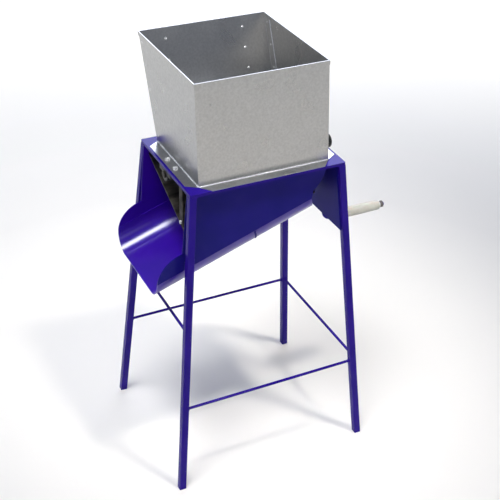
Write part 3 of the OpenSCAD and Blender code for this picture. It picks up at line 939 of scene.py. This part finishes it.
@dataclass
class Hopper(SubAssembly):
    """Galvanised hopper of two folded sheets, riveted at the back corners.

    The sizes say where the corner tabs of the back sheet and the bends over the base flanges lie.
    """

    side_x: float = 188.5 * MM
    sheet_t: float = 1.2 * MM
    base_z: float = FRAME_TOP
    high: float = 275 * MM
    base_y: float = 141 * MM
    flare: float = 119 * MM
    tab_w: float = 32 * MM
    tab_margin: float = 12 * MM
    tab_depth: float = 1.8 * MM
    edge_r: float = 1.0 * MM
    edge_count: int = 60
    round_count: int = 10
    fold: float = 2 * MM
    fold_count: int = 40

    def tab_edges(self) -> bpy.types.Object:
        """Rounds the sheared front edge and the fold of the two corner tabs.

        Each is a straight tube up the leaning back sheet: at every height a circle of the edge's
        radius round a point of the edge. It is drawn thicker than the sheet, so that it shows.

        Returns:
            The four edges as one piece.
        """
        z = np.linspace(self.tab_margin, self.high - self.tab_margin, self.edge_count)
        turn = np.linspace(0, math.tau, self.round_count, endpoint=False)
        lean = self.flare / self.high
        tubes: list[Tube] = []
        for side in (-1.0, 1.0):
            for ahead in (self.tab_w, self.edge_r):
                x = side * (self.side_x - self.tab_depth) + self.edge_r * np.cos(turn)
                y = self.base_y + lean * z - ahead
                axes = np.broadcast_arrays(
                    x[None, :],
                    y[:, None] + self.edge_r * np.sin(turn)[None, :],
                    self.base_z + z[:, None],
                )
                tubes.append((np.stack(axes, axis=2) + PART_OFFSET, False))
        return closed_mesh("hopper_tab_edges", tubes)

    def fold_lines(self) -> bpy.types.Object:
        """Fills the bend between wall and base flange on the left, front and right with a plain fillet.

        Returns:
            The three bends as one piece.
        """
        corners = np.array([[-1, 1], [-1, -1], [1, -1], [1, 1]]) * [self.side_x, self.base_y]
        corners = np.column_stack([corners, np.full(4, self.base_z + self.sheet_t)]) + PART_OFFSET
        outward = np.array([[-1.0, 0.0, 0.0], [0.0, -1.0, 0.0], [1.0, 0.0, 0.0]])
        up = np.tile([0.0, 0.0, 1.0], (self.fold_count, 1))
        tubes: list[Tube] = []
        for start, end, out in zip(corners[:-1], corners[1:], outward):
            path = np.linspace(start, end, self.fold_count)
            sides = np.tile(out, (self.fold_count, 1))
            tubes.append((corner_fillet(path, sides, up, self.fold, False, ripple=0.0), False))
        return closed_mesh("hopper_fold_lines", tubes)

    def build(self) -> None:
        """Dresses the sheets and rivets and adds the edges and bends, painted pale as a highlight."""
        self.dress(self.paint.galvanised, "hopper_shell", "hopper_back")
        self.dress(self.paint.plated, "hopper_rivets")
        self.add(self.tab_edges(), self.paint.highlight_zinc, Slot.GALVANISED)
        self.add(self.fold_lines(), self.paint.highlight_zinc, Slot.GALVANISED)


@dataclass
class Chute(SubAssembly):
    """Bent trough, flat side walls, end plate and the weld that rings the trough."""

    slope: float = math.radians(19.3)
    middle_h: float = 711 * MM
    half_w: float = 148.9 * MM
    bend_r: float = 50 * MM
    seam_reach: float = 14 * MM
    bead_w: float = 6 * MM
    bead_h: float = 1.6 * MM
    bead_sunk: float = 0.3 * MM
    bead_ripple: float = 0.25
    bead_pitch: float = 3.2 * MM
    bead_start: float = math.radians(4)
    bend_count: int = 60
    flat_count: int = 198
    arc_count: int = 9

    def seam_bead(self) -> bpy.types.Object:
        """Lays a rippled bead across the outside of the trough where its two lengths meet.

        The path goes down one bend, along the flat bottom and up the other bend. Across it the bead
        is half an ellipse, sunk a little into the sheet, whose height is the bead's height times one
        plus a cosine ripple.

        Returns:
            The bead.
        """
        turn = np.linspace(self.bead_start, math.pi / 2, self.bend_count)
        flat = self.half_w - self.bend_r
        mirrored = [-1, 1]
        bend_out = np.stack([-np.cos(turn), -np.sin(turn)], axis=1)
        bend = [-flat, self.bend_r] + self.bend_r * bend_out
        level = np.zeros(self.flat_count)
        bottom = np.stack([np.linspace(-flat, flat, self.flat_count + 2)[1:-1], level], axis=1)
        path = np.concatenate([bend, bottom, bend[::-1] * mirrored])
        out = np.concatenate([bend_out, np.stack([level, level - 1], axis=1), bend_out[::-1] * mirrored])
        way = np.concatenate([[0.0], np.cumsum(np.linalg.norm(np.diff(path, axis=0), axis=1))])
        high = self.bead_h * (1 + self.bead_ripple * np.cos(math.tau * way / self.bead_pitch))
        arc = np.linspace(0, math.pi, self.arc_count)
        lift = np.sin(arc)[None, :] * high[:, None] - self.bead_sunk
        # s runs up the slope, y across the trough and h square to its floor.
        s = self.bead_w / 2 * np.cos(arc)[None, :] - self.seam_reach / math.cos(self.slope)
        y = path[:, 0, None] + out[:, 0, None] * lift
        h = path[:, 1, None] + out[:, 1, None] * lift
        grid = np.stack(
            [
                s * math.cos(self.slope) - h * math.sin(self.slope),
                y,
                self.middle_h + s * math.sin(self.slope) + h * math.cos(self.slope),
            ],
            axis=2,
        )
        return closed_mesh("trough_ring_weld", [(grid + PART_OFFSET, False)])

    def build(self) -> None:
        """Dresses the sheets and replaces the plain ring by a rippled bead."""
        # The flat walls, the end plate and the ring bead take the navy of painted shade; the back wall and
        # the trough take a violet painted as if sunlit.
        self.dress(self.paint.shaded_sheet_enamel, "chute_front_wall")
        self.dress(self.paint.shaded_plate_enamel, "right_end_plate")
        self.dress(self.paint.sunlit_wall_enamel, "chute_back_wall")
        self.dress(self.paint.sunlit_trough_enamel, "trough_head", "trough_spout")
        self.add(self.seam_bead(), self.paint.shaded_sheet_enamel, Slot.ENAMEL, "trough_seam")


@dataclass
class Mill(SubAssembly):
    """Breast plate, hangers, guide and bearings that stay, round the drum that turns."""

    def build(self) -> None:
        """Dresses the plates, bearings, drum, knives and their fasteners."""
        # Plates, hangers, guide, shaft and drum take the rolled steel, whose dark colour is partly mill
        # scale and partly painted shade.
        self.dress(self.paint.steel, "breast_plate", "hanger_left", "hanger_right", "front_guide")
        self.dress(self.paint.iron, "bearing_left", "bearing_right")
        # The fasteners are drawn pale and mostly matt, a painted highlight.
        self.dress(self.paint.plated, "breast_bolts", "breast_nuts", "bearing_bolts", "bearing_nuts")
        self.dress(self.paint.steel, "shaft", "shaft_collar")
        self.dress(self.paint.steel, "drum_shell", "drum_disc_left", "drum_disc_right")
        self.dress(self.paint.knife, "knives")
        self.dress(self.paint.plated, "knife_screws", "collar_screw")


@dataclass
class Crank(SubAssembly):
    """Hub, bent round bar and turning grip."""

    body: Body = Body.CRANK

    def build(self) -> None:
        """Dresses the hub, arm, grip and their fasteners."""
        self.dress(self.paint.iron, "crank_hub")
        self.dress(self.paint.enamel, "crank_arm")
        self.dress(self.paint.plastic, "grip")
        self.dress(self.paint.plated, "hub_screw", "grip_washer")
        self.dress(self.paint.oiled, "grip_nut")


@dataclass(frozen=True)
class SoftLight:
    """A rectangular soft box that hangs at a point and looks at another."""

    name: str
    at: tuple[float, float, float]
    aim: tuple[float, float, float]
    size: tuple[float, float]
    power: float
    colour: str = "#ffffff"
    spread_deg: float = 180.0

    def hang(self) -> None:
        """Makes the lamp and turns it so that it shines along its own -Z at its aim."""
        lamp = bpy.data.lights.new(self.name, "AREA")
        lamp.shape = "RECTANGLE"
        lamp.size, lamp.size_y = self.size
        lamp.energy = self.power
        lamp.color = linear(self.colour)[:3]
        lamp.spread = math.radians(self.spread_deg)
        back = np.array(self.at) - np.array(self.aim)
        back /= np.linalg.norm(back)
        side = np.cross(helper_axis(back), back)
        side /= np.linalg.norm(side)
        holder = bpy.data.objects.new(self.name, lamp)
        holder.matrix_world = placing(side, np.cross(back, side), self.at)
        bpy.context.scene.collection.objects.link(holder)


@dataclass
class Studio:
    """Pale paper floor, soft boxes above, behind and in front, a dim room and the camera."""

    paint: Paintbox
    image_w: int = 500
    camera_at: tuple[float, float, float] = (-1.21629, -2.35507, 2.27772)
    camera_right: tuple[float, float, float] = (0.899832, -0.435761, 0.020367)
    camera_up: tuple[float, float, float] = (0.220435, 0.494486, 0.840769)
    focal_px: float = 1086.12
    sensor_mm: float = 36.0
    sight: float = 100.0
    room_tones: tuple[tuple[float, str], ...] = (
        (0.0, "#e6e7ea"),
        (0.2, "#9196a1"),
        (0.42, "#464c59"),
        (0.8, "#5a6480"),
    )
    floor_half: float = 14.0
    floor_count: int = 9
    lights: tuple[SoftLight, ...] = (
        SoftLight("key_light", (1.0, -1.5, 5.8), (0.15, 0.25, 0.0), (0.5, 0.5), 4.2, "#fffaf2", 28.0),
        SoftLight("gloss_box", (-1.65, -0.7, 5.4), (-0.35, 0.0, 0.65), (1.5, 3.6), 18.5, "#fafbff", 36.0),
        SoftLight("back_box", (2.2, 4.0, 3.4), (0.0, 0.0, 0.8), (3.2, 1.8), 88.0, "#e4ebff"),
        SoftLight("floor_box", (1.9, 3.6, 5.0), (1.9, 3.6, 0.0), (5.0, 4.0), 50.0, "#ffffff", 110.0),
        SoftLight("front_box", (0.9, -2.3, 4.5), (0.9, -2.3, 0.0), (1.6, 1.2), 3.5, "#ffeedb", 40.0),
        SoftLight("fill_light", (-1.6, -5.0, 2.4), (0.0, 0.0, 0.8), (2.4, 2.0), 16.0, "#fff8f0"),
    )

    def floor(self) -> None:
        """Lays the paper: a grid that is flat everywhere."""
        steps = np.linspace(-self.floor_half, self.floor_half, self.floor_count)
        x, y = np.meshgrid(steps, steps, indexing="ij")
        points = np.stack([x, y, np.zeros_like(x)], axis=2).reshape(-1, 3)
        faces = grid_faces(self.floor_count, self.floor_count, False, False)
        mesh = bpy.data.meshes.new("studio_floor")
        mesh.from_pydata(points.tolist(), [], faces.tolist())
        mesh.materials.append(self.paint.floor)
        paper = bpy.data.objects.new("studio_floor", mesh)
        bpy.context.scene.collection.objects.link(paper)

    def room(self) -> None:
        """Fills the surroundings with a room that is pale at the horizon and dim overhead."""
        world = bpy.data.worlds.new("dim_room")
        world.use_nodes = True
        tree = world.node_tree
        tree.nodes.clear()
        aim = add_node(tree, "ShaderNodeTexCoord").outputs["Generated"]
        split = add_node(tree, "ShaderNodeSeparateXYZ", {"Vector": aim})
        fade = add_node(tree, "ShaderNodeValToRGB", {"Fac": split.outputs["Z"]}, stops=self.room_tones)
        glow = add_node(tree, "ShaderNodeBackground", {"Color": fade.outputs["Color"]})
        add_node(tree, "ShaderNodeOutputWorld", {"Surface": glow.outputs["Background"]})
        bpy.context.scene.world = world

    def camera(self) -> None:
        """Sets the camera where the photograph was taken, without shift or depth of field."""
        lens = bpy.data.cameras.new("photo_camera")
        lens.sensor_fit = "HORIZONTAL"
        lens.sensor_width = self.sensor_mm
        lens.lens = self.focal_px / self.image_w * self.sensor_mm
        lens.clip_end = self.sight
        stand = bpy.data.objects.new("photo_camera", lens)
        stand.matrix_world = placing(np.array(self.camera_right), np.array(self.camera_up), self.camera_at)
        bpy.context.scene.collection.objects.link(stand)
        bpy.context.scene.camera = stand

    def build(self) -> None:
        """Sets up floor, lights, room and camera, with plain colour handling."""
        bpy.context.scene.view_settings.view_transform = "Standard"
        self.floor()
        for light in self.lights:
            light.hang()
        self.room()
        self.camera()


def main() -> None:
    """Builds each sub-assembly in order, reports its pieces and sets up the studio."""
    logging.basicConfig(level=logging.INFO, format="%(name)s %(message)s")
    paint = Paintbox()
    for group in (Stand(paint), Hopper(paint), Chute(paint), Mill(paint), Crank(paint)):
        group.build()
        group.report()
    Studio(paint).build()


if __name__ == "__main__":
    main()
